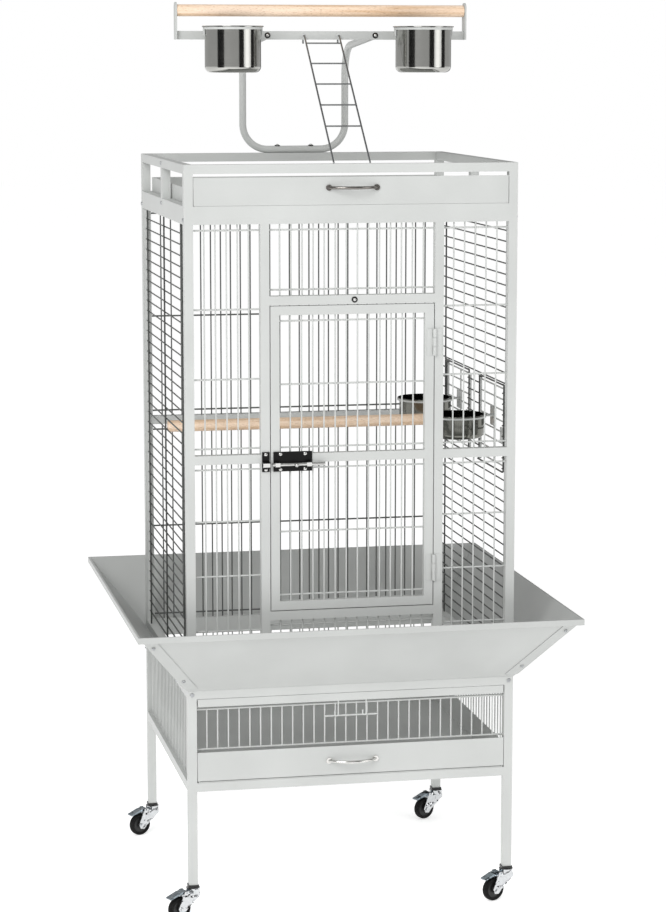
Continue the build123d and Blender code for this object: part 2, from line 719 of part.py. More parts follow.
def ring_band(x, y, z, cup_r, width, height):
    """Flat band around a cup, its top at z."""
    inner = cup_r + RING_GAP
    band = rod((x, y, z - height), (x, y, z), inner + width)
    return band - rod((x, y, z - height - 1), (x, y, z + 1), inner)


def cup(x, y, top, radius, height, corner, lip):
    """Spun steel cup with a rounded foot and a turned rim."""
    body = rod((x, y, top - height), (x, y, top), radius)
    body = fillet(body.edges().filter_by(GeomType.CIRCLE).group_by(Axis.Z)[0], corner)
    rim = rod((x, y, top - CUP_RIM_T), (x, y, top), radius + lip)
    rim = fillet(rim.edges().filter_by(GeomType.CIRCLE).group_by(Axis.Z)[-1], CUP_RIM_T / 2)
    hollow = rod((x, y, top - height + CUP_WALL), (x, y, top + 2), radius - CUP_WALL)
    hollow = fillet(hollow.edges().filter_by(GeomType.CIRCLE).group_by(Axis.Z)[0], corner - CUP_WALL)
    return body + rim - hollow


def ladder():
    """Wire ladder hooked through the bar, its feet on the front rail."""
    centre_z = BAR_MID_Z - HOOK_R
    foot = (-STEM_Y, TOP + LADDER_R + SLIDE_GAP)
    dy = foot[0]
    dz = foot[1] - centre_z
    reach = math.hypot(dy, dz)
    lean = math.atan2(dz, dy) - math.acos(HOOK_R / reach)
    touch = (HOOK_R * math.cos(lean), centre_z + HOOK_R * math.sin(lean))
    parts = []
    for x in (-LADDER_X, LADDER_X):
        parts.append(rod((x, *touch), (x, *foot), LADDER_R))
        parts.append(Pos(x, *foot) * Sphere(LADDER_R))
        parts.append(hook_arc(x, centre_z, math.degrees(lean) % 360))
    length = math.dist(touch, foot)
    for i in range(RUNGS):
        t = (RUNG_FIRST + i * RUNG_PITCH) / length
        y = touch[0] + (foot[0] - touch[0]) * t
        z = touch[1] + (foot[1] - touch[1]) * t
        parts.append(rod((-LADDER_X, y, z), (LADDER_X, y, z), LADDER_R - 0.2))
    return joined(parts)


def hook_arc(x, centre_z, lean):
    """Part of a circle in the YZ plane, through the bar's hole and down behind it."""
    def point(angle):
        a = math.radians(angle)
        return (x, HOOK_R * math.cos(a), centre_z + HOOK_R * math.sin(a))
    path = ThreePointArc(point(lean), point(lean / 2), point(-30))
    start = Plane(origin=path @ 0, z_dir=path % 0)
    return sweep(start * Circle(LADDER_R), path=path)


def play_bolts():
    """Bolts of the play stand: two at the bar's arms, two through the base."""
    parts = []
    for x in (-TUBE_X, TUBE_X):
        face = -BAR_T / 2
        head = rod((x, face - 1.2, BAR_MID_Z), (x, face, BAR_MID_Z), 5.0)
        dome = rod((x, face - 3.2, BAR_MID_Z), (x, face - 1.2, BAR_MID_Z), 3.4)
        shank = rod((x, face, BAR_MID_Z), (x, 15, BAR_MID_Z), 2.5)
        parts.append(joined([head, dome, shank]))
    for x in BASE_BOLTS:
        top = TOP + 2 * PLAY_TUBE_R
        head = rod((x, STEM_Y, top), (x, STEM_Y, top + 3), 4.0)
        shank = rod((x, STEM_Y, TOP), (x, STEM_Y, top), 2.0)
        parts.append(joined([head, shank]))
    return parts


def cage_perch():
    """Dowel across the cage between the side wires."""
    half = SIDE_WIRE_X - WIRE_R - SLIDE_GAP
    return rod((-half, 0, CAGE_PERCH_Z), (half, 0, CAGE_PERCH_Z), PERCH_R)


# ---------------------------------------------------------------- feeder doors

def feeder_door(hinge_y):
    """Wire door with its hinge rod, lock plate and the ring that carries a cup."""
    low, high = FEEDER_Z
    x = FEEDER_X
    free = hinge_y - FEEDER_W
    cup_y = hinge_y - FEEDER_W / 2
    r = FEEDER_ROD_R
    inset = 8.5
    parts = [rod((x, hinge_y, low), (x, hinge_y, high), r)]
    parts.append(rod((x, free, low + inset), (x, free, high - inset), r))
    for z in spread(low + inset, high - inset, 7) + [low + inset, high - inset]:
        parts.append(rod((x, free, z), (x, hinge_y, z), r - 0.1))
    outer_x = x + 2 * r - WELD
    parts.append(rod((outer_x, cup_y, low + inset), (outer_x, cup_y, high - inset), r))
    ring_z = FEED_CUP_TOP - CUP_RIM_T - SLIDE_GAP
    plate = box((x - 0.7, x + 0.7), (cup_y - 18, cup_y + 18), (ring_z - 20, ring_z + 14))
    lock = box((x - 0.7, x + 1.3), (free - 3, free + 34), (ring_z - 42, ring_z - 16))
    ring = ring_band(FEED_CUP_X, cup_y, ring_z, FEED_CUP_R, FEED_RING_W, 3.0)
    arm = box((FEED_CUP_X + FEED_CUP_R + 1, x), (cup_y - 6.5, cup_y + 6.5), (ring_z - 3, ring_z))
    return joined(parts + [plate, lock, ring, arm])


# ---------------------------------------------------------------- screws

def side_head(s, y, z):
    """Pan head on the outside of a side frame."""
    return rod((s * HX, y, z), (s * (HX + 1.8), y, z), 3.4)


def front_head(x, z):
    return rod((x, -HY, z), (x, -HY - 1.8, z), 3.4)


def frame_screws():
    """Visible screw heads of the frames, and the washers that clamp the cage perch."""
    parts = []
    for s in (-1, 1):
        parts.append(front_head(s * STEM_X, STAND_TOP - TUBE / 2))
        for z in (CAGE_TOP + TUBE / 2, TOP - TUBE / 2):
            parts.append(side_head(s, 0.0, z))
        for y in (-STEM_Y, STEM_Y):
            parts.append(side_head(s, y, CAGE_TOP - TUBE / 2))
            parts.append(side_head(s, y, STAND_TOP + TUBE / 2 + 2))
    return parts


# ---------------------------------------------------------------- casters

def at_caster(shape, x, y):
    """Place a piece that is modelled with its swivel axis at the origin and the wheel towards +X."""
    return Pos(x, y, 0) * Rot(0, 0, CASTER_TURN) * shape


def caster_stem(x, y):
    """Leg cap with the stem above it and the swivel pin below it."""
    cap = box((x - 9, x + 9), (y - 9, y + 9), (LEG_END - 5, LEG_END))
    stem = rod((x, y, LEG_END), (x, y, LEG_END + STEM_L), STEM_R)
    pin = rod((x, y, 41), (x, y, LEG_END - 5), AXLE_R)
    head = rod((x, y, 40.5), (x, y, 42.5), 5.0)
    return joined([cap, stem, pin, head])


def cheek(v):
    """Side plate of the fork, from the ear that holds the brake's pin to the axle."""
    u, z = BRAKE_PIVOT
    points = [(-8, 45), (u - 4, 45), (u - 3.5, z + 2.5), (u + 3.5, z + 2.5), (TRAIL + 7, 22), (TRAIL + 4, 14)]
    points += [(TRAIL - 4, 13), (TRAIL - 10, 20), (-8, 40)]
    outline = make_face(Polyline(*[(p, v, q) for p, q in points], close=True))
    plate = extrude(outline, amount=CHEEK_T, dir=(0, 1, 0))
    return plate - rod((u, v - 1, z), (u, v + CHEEK_T + 1, z), BRAKE_PIN_R + RUN_FIT)


def caster_fork():
    """Pressed fork: swivel housing, two cheeks and the axle."""
    inner = WHEEL_W / 2 + CHEEK_GAP
    plate_z = (43.0, 45.0)
    housing = rod((0, 0, plate_z[0]), (0, 0, SWIVEL_TOP), 12.0)
    plate = box((-8, 14), (-inner - CHEEK_T, inner + CHEEK_T), plate_z)
    parts = [housing, plate, cheek(inner), cheek(-inner - CHEEK_T)]
    parts.append(rod((TRAIL, -inner - CHEEK_T - 1.5, WHEEL_R), (TRAIL, inner + CHEEK_T + 1.5, WHEEL_R), AXLE_R))
    fork = joined(parts)
    return fork - rod((0, 0, 40), (0, 0, 60), AXLE_R + RUN_FIT)


def caster_wheel():
    """Tyre on its hub, with a running bore."""
    half = WHEEL_W / 2
    wheel = rod((TRAIL, -half, WHEEL_R), (TRAIL, half, WHEEL_R), WHEEL_R)
    wheel = fillet(wheel.edges().filter_by(GeomType.CIRCLE), 3.0)
    return wheel - rod((TRAIL, -half - 1, WHEEL_R), (TRAIL, half + 1, WHEEL_R), AXLE_R + RUN_FIT)


def caster_brake():
    """Foot tab over the tyre, on a pin between the fork's ears."""
    u, z = BRAKE_PIVOT
    points = [(u - 3, z - 2), (u + 12, z - 3.2), (u + 30, z - 9), (u + 31, z - 7), (u + 12, z + 0.5), (u - 1, z + 3)]
    outline = make_face(Polyline(*[(p, -BRAKE_W / 2, q) for p, q in points], close=True))
    tab = extrude(outline, amount=BRAKE_W, dir=(0, 1, 0))
    reach = WHEEL_W / 2 + CHEEK_GAP + CHEEK_T
    return tab + rod((u, -reach, z), (u, reach, z), BRAKE_PIN_R)


# ---------------------------------------------------------------- assembly

def feeder_openings():
    return [(y - FEEDER_W, y) for y in FEEDER_HINGE_YS]


def build():
    nodes = {}
    for name, s in (("left", -1), ("right", 1)):
        nodes[f"stand_side_{name}"] = stand_side(s)
        nodes[f"guard_{name}"] = guard_side(s)
        nodes[f"apron_{name}"] = apron_side(s)
        nodes[f"top_side_{name}"] = top_side(s)
        nodes[f"cup_ring_{name}"] = cup_ring(s)
        place = (s * PLAY_CUP_X, PLAY_CUP_Y, PLAY_CUP_TOP)
        nodes[f"play_cup_{name}"] = cup(*place, PLAY_CUP_R, PLAY_CUP_H, 10.0, PLAY_LIP)
    nodes["stand_back"] = stand_back()
    nodes["stand_rails_front"] = stand_rails_front()
    nodes["guard_front"] = guard_front()
    nodes["apron_front"] = apron_front(-1)
    nodes["apron_back"] = apron_front(1)
    nodes["apron_corner_strips"] = apron_corner_strips()
    nodes["cage_front"] = cage_front()
    nodes["cage_back"] = cage_back()
    nodes["cage_left"] = cage_side(-1, [])
    nodes["cage_right"] = cage_side(1, feeder_openings())
    nodes["top_rails_front"] = top_rails((-HY, -IY))
    nodes["top_rails_back"] = top_rails((IY, HY))
    nodes["roof_grille"] = roof_grille()
    nodes["play_tube"] = play_tube()
    nodes["play_bar"] = play_bar()
    nodes["play_perch"] = play_perch()
    nodes["play_bolts"] = play_bolts()
    nodes["cage_perch"] = cage_perch()
    nodes["door_hinges_fixed"] = [fixed_hinge(z) for z in HINGE_ZS]
    nodes["door_hinge_leaves"] = [door_hinge(z) for z in HINGE_ZS]
    nodes["latch_keeper"] = latch_keeper()
    nodes["latch_plate"] = latch_plate()
    nodes["latch_bolt"] = latch_bolt()
    nodes["frame_screws"] = frame_screws()
    nodes["main_door"] = main_door()
    floor_z = CAGE_TOP + TUBE + SLIDE_GAP
    face = (floor_z + 0.4, CAGE_TOP + PLAY_FACE_TOP)
    nodes["play_tray"] = tray(IX - 1.0, IY - 2.0, floor_z, PLAY_WALL, face)
    nodes["play_tray_pull"] = pull(sum(face) / 2 + 5.0)
    nodes["grate"] = grate()
    floor_z = LOW_RAIL_TOP + SLIDE_GAP
    nodes["debris_tray"] = tray(IX - 1.0, IY - 2.0, floor_z, TRAY_WALL, TRAY_FACE)
    nodes["debris_tray_pull"] = pull(sum(TRAY_FACE) / 2)
    for name, hinge_y in zip(("front", "back"), FEEDER_HINGE_YS):
        nodes[f"feeder_door_{name}"] = feeder_door(hinge_y)
        cup_y = hinge_y - FEEDER_W / 2
        place = (FEED_CUP_X, cup_y, FEED_CUP_TOP)
        nodes[f"feeder_cup_{name}"] = cup(*place, FEED_CUP_R, FEED_CUP_H, 8.0, FEED_LIP)
    nodes["ladder"] = ladder()
    stems = []
    for fore, sy in (("front", -1), ("back", 1)):
        for name, sx in (("left", -1), ("right", 1)):
            place = (sx * STEM_X, sy * STEM_Y)
            stems.append(caster_stem(*place))
            nodes[f"caster_fork_{fore}_{name}"] = at_caster(caster_fork(), *place)
            nodes[f"caster_wheel_{fore}_{name}"] = at_caster(caster_wheel(), *place)
            nodes[f"caster_brake_{fore}_{name}"] = at_caster(caster_brake(), *place)
    nodes["caster_stems"] = stems
    return nodes


def main():
    os.makedirs("parts", exist_ok=True)
    for name, shape in build().items():
        if isinstance(shape, list):
            shape = Compound(children=shape)
        export_step(shape, f"parts/{name}.step")


if __name__ == "__main__":
    main()
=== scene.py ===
import json
import math

import bmesh
import bpy
from mathutils import Matrix, Vector


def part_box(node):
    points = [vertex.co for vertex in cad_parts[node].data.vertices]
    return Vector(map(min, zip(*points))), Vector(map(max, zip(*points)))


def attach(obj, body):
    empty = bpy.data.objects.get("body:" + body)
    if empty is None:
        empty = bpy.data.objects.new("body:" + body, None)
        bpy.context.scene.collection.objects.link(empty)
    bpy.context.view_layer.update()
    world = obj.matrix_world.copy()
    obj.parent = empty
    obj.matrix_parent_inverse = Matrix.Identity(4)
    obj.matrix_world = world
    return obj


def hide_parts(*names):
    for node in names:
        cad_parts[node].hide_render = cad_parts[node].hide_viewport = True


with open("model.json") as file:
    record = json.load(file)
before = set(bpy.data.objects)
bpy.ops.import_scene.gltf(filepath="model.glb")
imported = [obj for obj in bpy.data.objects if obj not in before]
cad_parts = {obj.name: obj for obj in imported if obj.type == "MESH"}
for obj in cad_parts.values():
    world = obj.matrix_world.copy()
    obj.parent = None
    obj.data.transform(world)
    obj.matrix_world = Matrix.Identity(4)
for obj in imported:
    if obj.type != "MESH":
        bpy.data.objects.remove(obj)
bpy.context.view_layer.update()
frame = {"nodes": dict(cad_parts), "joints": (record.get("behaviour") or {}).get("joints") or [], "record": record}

bl_info = {
    "name": "Bird Cage Finish",
    "version": (1, 0, 0),
    "blender": (4, 5, 0),
    "location": "View3D > Sidebar > Bird Cage",
    "description": "Finishes, perches, wheels, screws and a studio for a bird cage on a wheeled stand",
    "category": "Object",
}

NODES = frame["nodes"]
CORNERS = ("front_left", "front_right", "back_left", "back_right")
SIDES = (("left", -1), ("right", 1))
SMOOTH = math.radians(35)    # flatter edges than this are shaded smooth
NEAR = 1e-5                  # how close counts as the same place
SQUARE_ON = 0.99             # a normal this far along an axis faces along it

PLATE = 0.002                # thickness of the latch's plates
TUBE_EDGE = 0.0151           # just past a square tube, so that no tube is taken for wire
BACK_RAIL = (0.772, 0.787)   # heights of the back's middle rail
SIDE_REACH = 0.2435          # how far from the middle the side wires go
BAR_BOLT_Z = 1.47325         # height of the bolts on the flat bar
BASE_BOLT_X = 0.031          # the bolts of the bent tube's base, from the middle
HEADER_BOLT = (0.003, 1.041) # the header's bolt, across and up
WASHER_T = 0.0012            # thickness of a dark washer

PEEL = 330.0                 # orange peel is about 1.5 mm across, drawn at 3 mm so that it shows
CLOUD = 9.0                  # slow drift of tone, about 110 mm across
MIX_FACTOR, MIX_A, MIX_B = 0, 6, 7   # sockets of a colour mix
TO_LOW, TO_HIGH = 3, 4               # sockets of a map range

FLOOR_SIZE = 40
FLOOR_PLACE = (0, 6, -0.0005)        # just under the tyres
FLAG_TURNS = (-150, -62, -18, 70)    # degrees round the cage
FLAG_DISTANCE = 4.5
FLAG_HEIGHT = 1.9
FLAG_SIZE = (3.4, 2.3, 1)
TOP_FLAG = (0, 0, 5.0, 0, 0)         # place, tilt and turn of the flag overhead
LAMPS = (                            # name, size, place and aim
    ("key", 2.2, (-2.2, -3.2, 3.0), (0, 0, 0.9)),
    ("fill", 2.4, (3.2, -2.6, 1.8), (0, 0, 0.8)),
)
CAMERA_PLACE = (-0.9126, -4.5859, 1.4371)
CAMERA_DOWN = 8.46                   # degrees below level
CAMERA_TURN = -11.5                  # degrees round from straight on


def linear(hex_colour):
    """An sRGB hex colour as the linear colour that a shader takes."""
    values = [int(hex_colour[i:i + 2], 16) / 255 for i in (1, 3, 5)]
    return tuple(v / 12.92 if v <= 0.04045 else ((v + 0.055) / 1.055) ** 2.4 for v in values) + (1.0,)


def add(material, kind, links=None, **settings):
    """Adds one node. A value in links is a socket to join to, or a number or colour to set."""
    made = material.node_tree.nodes.new(kind)
    for key, value in settings.items():
        setattr(made, key, value)
    for key, value in (links or {}).items():
        if isinstance(value, bpy.types.NodeSocket):
            material.node_tree.links.new(value, made.inputs[key])
        else:
            made.inputs[key].default_value = value
    return made


def new_material(name):
    """An empty material with its output node and the object's own coordinates."""
    material = bpy.data.materials.new(name)
    material.use_nodes = True
    material.node_tree.nodes.clear()
    place = add(material, "ShaderNodeTexCoord").outputs["Object"]
    return material, place


def finish_material(material, shader):
    """Ends a material with its output, and a grey for the solid view."""
    add(material, "ShaderNodeOutputMaterial", {"Surface": shader.outputs[0]})
    material.diffuse_color = (0.7, 0.7, 0.7, 1)
    return material


def two_tone(material, factor, low, high, start=0.3, end=0.7):
    """A colour that runs from low to high with the factor."""
    ramp = add(material, "ShaderNodeValToRGB", {0: factor})
    ramp.color_ramp.elements[0].position = start
    ramp.color_ramp.elements[1].position = end
    ramp.color_ramp.elements[0].color = low
    ramp.color_ramp.elements[1].color = high
    return ramp.outputs[0]


def level(material, factor, low, high):
    """A number between low and high, for a roughness that varies."""
    made = add(material, "ShaderNodeMapRange", {0: factor, TO_LOW: low, TO_HIGH: high})
    return made.outputs[0]


def shade(colour, amount):
    """The colour made lighter or darker by a factor."""
    return tuple(min(1.0, c * amount) for c in colour[:3]) + (1.0,)


def powder_coat(name, colour, rough=0.42):
    """Polyester powder coat on steel: baked powder leaves a faint orange peel and a soft, even gloss."""
    material, place = new_material(name)
    peel = add(material, "ShaderNodeTexNoise", {"Vector": place, "Scale": PEEL, "Detail": 2.0})
    cloud = add(material, "ShaderNodeTexNoise", {"Vector": place, "Scale": CLOUD, "Detail": 3.0})
    tone = two_tone(material, cloud.outputs[0], shade(colour, 0.95), shade(colour, 1.03))
    bump = add(material, "ShaderNodeBump", {"Height": peel.outputs[0], "Strength": 0.12, "Distance": 0.0003})
    shader = add(material, "ShaderNodeBsdfPrincipled", {
        "Base Color": tone, "Roughness": level(material, cloud.outputs[0], rough - 0.05, rough + 0.06),
        "Normal": bump.outputs[0], "Coat Weight": 0.15, "Coat Roughness": 0.25})
    return finish_material(material, shader)


def polished_steel(name, colour):
    """Spun stainless steel: mirror polish with fine rings left by the buffing wheel."""
    material, place = new_material(name)
    stretch = add(material, "ShaderNodeMapping", {"Vector": place, "Scale": (3.0, 3.0, 900.0)})
    rings = add(material, "ShaderNodeTexNoise", {"Vector": stretch.outputs[0], "Scale": 1.0, "Detail": 3.0})
    haze = add(material, "ShaderNodeTexNoise", {"Vector": place, "Scale": 40.0, "Detail": 2.0})
    bump = add(material, "ShaderNodeBump", {"Height": rings.outputs[0], "Strength": 0.1, "Distance": 0.0002})
    shader = add(material, "ShaderNodeBsdfPrincipled", {
        "Base Color": two_tone(material, haze.outputs[0], shade(colour, 0.94), colour), "Metallic": 1.0,
        "Roughness": level(material, rings.outputs[0], 0.07, 0.16), "Normal": bump.outputs[0]})
    return finish_material(material, shader)


def plated_metal(name, colour, low, high):
    """Electroplated steel: bright and smooth, with a slight haze."""
    material, place = new_material(name)
    haze = add(material, "ShaderNodeTexNoise", {"Vector": place, "Scale": 120.0, "Detail": 3.0})
    bump = add(material, "ShaderNodeBump", {"Height": haze.outputs[0], "Strength": 0.04, "Distance": 0.0002})
    shader = add(material, "ShaderNodeBsdfPrincipled", {
        "Base Color": two_tone(material, haze.outputs[0], shade(colour, 0.88), colour), "Metallic": 1.0,
        "Roughness": level(material, haze.outputs[0], low, high), "Normal": bump.outputs[0]})
    return finish_material(material, shader)


def pressed_chrome(name, colour):
    """Chromed pressed sheet: mirror bright, with slow waves from the press that break up reflections."""
    material, place = new_material(name)
    waves = add(material, "ShaderNodeTexNoise", {"Vector": place, "Scale": 75.0, "Detail": 1.0})
    haze = add(material, "ShaderNodeTexNoise", {"Vector": place, "Scale": 260.0, "Detail": 2.0})
    bump = add(material, "ShaderNodeBump", {"Height": waves.outputs[0], "Strength": 1.0, "Distance": 0.008})
    shader = add(material, "ShaderNodeBsdfPrincipled", {
        "Base Color": two_tone(material, haze.outputs[0], shade(colour, 0.9), colour), "Metallic": 1.0,
        "Roughness": level(material, haze.outputs[0], 0.05, 0.12), "Normal": bump.outputs[0]})
    return finish_material(material, shader)


def beech(name, colour, grain):
    """Sanded beech dowel: pale wood with straight grain along X and short dark flecks."""
    material, place = new_material(name)
    along = add(material, "ShaderNodeMapping", {"Vector": place, "Scale": (5.0, 130.0, 130.0)})
    bands = add(material, "ShaderNodeTexNoise", {
        "Vector": along.outputs[0], "Scale": 1.0, "Detail": 5.0, "Distortion": 0.6})
    # beech flecks are 1 to 3 mm long and a fraction of a millimetre wide
    tight = add(material, "ShaderNodeMapping", {"Vector": place, "Scale": (180.0, 1500.0, 1500.0)})
    flecks = add(material, "ShaderNodeTexNoise", {"Vector": tight.outputs[0], "Scale": 1.0, "Detail": 2.0})
    base = two_tone(material, bands.outputs[0], grain, colour, 0.34, 0.62)
    dark = two_tone(material, flecks.outputs[0], (0.62, 0.55, 0.48, 1), (1, 1, 1, 1), 0.33, 0.42)
    mixed = add(material, "ShaderNodeMix", {MIX_A: base, MIX_B: dark, MIX_FACTOR: 1.0},
                data_type="RGBA", blend_type="MULTIPLY")
    bump = add(material, "ShaderNodeBump", {"Height": bands.outputs[0], "Strength": 0.2, "Distance": 0.0003})
    shader = add(material, "ShaderNodeBsdfPrincipled", {
        "Base Color": mixed.outputs[2], "Roughness": level(material, bands.outputs[0], 0.5, 0.66),
        "Normal": bump.outputs[0]})
    return finish_material(material, shader)


def moulded_plastic(name, colour, rough, grit):
    """Moulded or satin-coated dark surface: fine spark-eroded texture with soft highlights."""
    material, place = new_material(name)
    texture = add(material, "ShaderNodeTexNoise", {"Vector": place, "Scale": grit, "Detail": 3.0})
    wear = add(material, "ShaderNodeTexNoise", {"Vector": place, "Scale": 55.0, "Detail": 4.0})
    bump = add(material, "ShaderNodeBump", {
        "Height": texture.outputs[0], "Strength": 0.2, "Distance": 0.0003})
    shader = add(material, "ShaderNodeBsdfPrincipled", {
        "Base Color": two_tone(material, wear.outputs[0], colour, shade(colour, 1.35)),
        "Roughness": level(material, wear.outputs[0], rough - 0.06, rough + 0.08), "Normal": bump.outputs[0]})
    return finish_material(material, shader)


def tyre_rubber(name, colour, dust):
    """Hard black rubber: matt, with patches of dust."""
    material, place = new_material(name)
    grain = add(material, "ShaderNodeTexNoise", {"Vector": place, "Scale": 260.0, "Detail": 4.0})
    patch = add(material, "ShaderNodeTexNoise", {"Vector": place, "Scale": 70.0, "Detail": 4.0})
    bump = add(material, "ShaderNodeBump", {"Height": grain.outputs[0], "Strength": 0.25, "Distance": 0.0003})
    shader = add(material, "ShaderNodeBsdfPrincipled", {
        "Base Color": two_tone(material, patch.outputs[0], colour, dust, 0.45, 0.8),
        "Roughness": level(material, grain.outputs[0], 0.62, 0.8), "Specular IOR Level": 0.25,
        "Normal": bump.outputs[0]})
    return finish_material(material, shader)


def grille_coat_with_wire_shade(name, colour, wire, bands, axis, reach):
    """Powder coat of a panel, with painted shade on its round wires, which are drawn in a darker coat than its
    tubes.

    A wire is what lies inside one of the bands of height and within reach of the middle along the axis.
    """
    material, place = new_material(name)
    cloud = add(material, "ShaderNodeTexNoise", {"Vector": place, "Scale": CLOUD, "Detail": 3.0})
    peel = add(material, "ShaderNodeTexNoise", {"Vector": place, "Scale": PEEL, "Detail": 2.0})
    split = add(material, "ShaderNodeSeparateXYZ", {0: place})
    found = None
    for low, high in bands:
        middle, half = (low + high) / 2, (high - low) / 2
        inside = add(material, "ShaderNodeMath", {0: split.outputs["Z"], 1: middle, 2: half},
                     operation="COMPARE").outputs[0]
        if found:
            inside = add(material, "ShaderNodeMath", {0: inside, 1: found}, operation="MAXIMUM").outputs[0]
        found = inside
    across = add(material, "ShaderNodeMath", {0: split.outputs[axis], 1: 0.0, 2: reach}, operation="COMPARE")
    mask = add(material, "ShaderNodeMath", {0: found, 1: across.outputs[0]}, operation="MULTIPLY")
    tube = two_tone(material, cloud.outputs[0], shade(colour, 0.95), shade(colour, 1.03))
    # painted shade: the wires take this darker colour wherever the mask finds them
    wire_painted_shade = two_tone(material, cloud.outputs[0], shade(wire, 0.9), shade(wire, 1.1))
    mixed = add(material, "ShaderNodeMix", {
        MIX_A: tube, MIX_B: wire_painted_shade, MIX_FACTOR: mask.outputs[0]}, data_type="RGBA")
    bump = add(material, "ShaderNodeBump", {"Height": peel.outputs[0], "Strength": 0.12, "Distance": 0.0003})
    shader = add(material, "ShaderNodeBsdfPrincipled", {
        "Base Color": mixed.outputs[2], "Roughness": level(material, cloud.outputs[0], 0.37, 0.48),
        "Normal": bump.outputs[0], "Coat Weight": 0.15, "Coat Roughness": 0.25})
    return finish_material(material, shader)


def coat_with_painted_highlight(name, colour, highlight_colour, centre, face):
    """Satin black coat with a painted highlight: a strip of bright metal along the crowns of the guides, at the
    bolt's height.
    """
    material, place = new_material(name)
    split = add(material, "ShaderNodeSeparateXYZ", {0: place})
    crown = 0.0032
    line = add(material, "ShaderNodeMath", {0: split.outputs["Z"], 1: centre, 2: crown}, operation="COMPARE")
    proud = add(material, "ShaderNodeMath", {0: split.outputs["Y"], 1: face}, operation="LESS_THAN")
    both = add(material, "ShaderNodeMath", {0: line.outputs[0], 1: proud.outputs[0]}, operation="MULTIPLY")
    # painted highlight: the band at the bolt's height on the guides' proud faces is drawn as bright metal
    highlight_band = both.outputs[0]
    grit = add(material, "ShaderNodeTexNoise", {"Vector": place, "Scale": 420.0, "Detail": 3.0})
    black = two_tone(material, grit.outputs[0], colour, shade(colour, 1.35))
    mixed = add(material, "ShaderNodeMix", {MIX_A: black, MIX_B: highlight_colour, MIX_FACTOR: highlight_band}, data_type="RGBA")
    bump = add(material, "ShaderNodeBump", {"Height": grit.outputs[0], "Strength": 0.12, "Distance": 0.0002})
    shader = add(material, "ShaderNodeBsdfPrincipled", {
        "Base Color": mixed.outputs[2], "Metallic": highlight_band, "Roughness": level(material, highlight_band, 0.36, 0.18),
        "Specular IOR Level": 0.22, "Normal": bump.outputs[0]})
    return finish_material(material, shader)


def backdrop_paper(name, colour):
    """Seamless studio paper: flat and matt with a barely visible tooth."""
    material, place = new_material(name)
    tooth = add(material, "ShaderNodeTexNoise", {"Vector": place, "Scale": 60.0, "Detail": 3.0})
    shader = add(material, "ShaderNodeBsdfPrincipled", {
        "Base Color": two_tone(material, tooth.outputs[0], shade(colour, 0.985), colour), "Roughness": 0.9,
        "Specular IOR Level": 0.1, "Emission Color": (1, 1, 1, 1), "Emission Strength": 0.52})
    return finish_material(material, shader)


def only(piece):
    """Selects one object and nothing else."""
    bpy.ops.object.select_all(action="DESELECT")
    piece.select_set(True)
    bpy.context.view_layer.objects.active = piece


def select_edges(test):
    """In edit mode, selects the edges whose two ends pass the test."""
    bpy.ops.mesh.select_all(action="DESELECT")
    bpy.ops.mesh.select_mode(type="EDGE")
    mesh = bmesh.from_edit_mesh(bpy.context.object.data)
    for edge in mesh.edges:
        edge.select_set(all(test(v.co) for v in edge.verts))
    mesh.select_flush_mode()
    bmesh.update_edit_mesh(bpy.context.object.data)


def select_faces(test):
    """In edit mode, selects the faces whose centre and normal pass the test."""
    bpy.ops.mesh.select_all(action="DESELECT")
    bpy.ops.mesh.select_mode(type="FACE")
    mesh = bmesh.from_edit_mesh(bpy.context.object.data)
    for face in mesh.faces:
        face.select_set(test(face.calc_center_median(), face.normal))
    mesh.select_flush_mode()
    bmesh.update_edit_mesh(bpy.context.object.data)


def settle(piece, body, slot_name, *materials):
    """Ends a piece: shape in its mesh, smooth faces, its finish, and the body that it rides on."""
    only(piece)
    bpy.ops.object.transform_apply(location=True, rotation=True, scale=True)
    bpy.ops.object.shade_smooth_by_angle(angle=SMOOTH)
    for material in materials:
        piece.data.materials.append(material)
    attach(piece, body)
    return piece


def copy_at(piece, name, matrix):
    """A copy of a modelled piece with its own mesh, moved by the matrix."""
    copy = piece.copy()
    copy.data = piece.data.copy()
    copy.name = name
    bpy.context.collection.objects.link(copy)
    copy.matrix_world = matrix
    bpy.context.view_layer.update()
    only(copy)
    bpy.ops.object.transform_apply(location=True, rotation=True, scale=True)
    return copy


def facing(place, normal):
    """A matrix that stands a piece modelled along +Z at a place, along the normal."""
    turn = Vector((0, 0, 1)).rotation_difference(Vector(normal)).to_matrix().to_4x4()
    return Matrix.Translation(place) @ turn


class CageFinish(bpy.types.PropertyGroup):
    """Colours of the coats and fittings."""
    coat: bpy.props.StringProperty(
        name="Coat", description="Powder coat of the frames and wires", default="#C4C6C4")
    tray: bpy.props.StringProperty(
        name="Tray", description="Powder coat of the trays", default="#C2C4C2")
    # painted shade: the seed guard's coat is drawn darker than the frame's, for the shade on its slopes
    guard: bpy.props.StringProperty(
        name="Guard", description="Powder coat of the seed guard", default="#BABCBA")
    # painted shade: the side and back wires are drawn darker for the shade they stand in
    side_wire_shade: bpy.props.StringProperty(
        name="Side Wire", description="Wires of the two sides", default="#3E403E")
    back_wire_shade: bpy.props.StringProperty(
        name="Back Wire", description="Wires of the back", default="#5C5E5C")
    wood: bpy.props.StringProperty(
        name="Wood", description="Light tone of the perches", default="#FFE6CE")
    grain: bpy.props.StringProperty(
        name="Grain", description="Dark tone of the perches", default="#E5C29E")
    steel: bpy.props.StringProperty(name="Steel", description="Polished cups", default="#B8B8B4")
    black: bpy.props.StringProperty(name="Black", description="Latch and its plates", default="#080808")
    brake: bpy.props.StringProperty(name="Brake", description="Brake tabs", default="#8A949B")


class PerchSizes(bpy.types.PropertyGroup):
    """Shape of the perches."""
    chamfer: bpy.props.FloatProperty(
        name="Chamfer", description="Sanded edge at the ends", default=0.0015, unit="LENGTH")
    sides: bpy.props.IntProperty(name="Sides", description="Facets round the dowel", default=64, min=24)


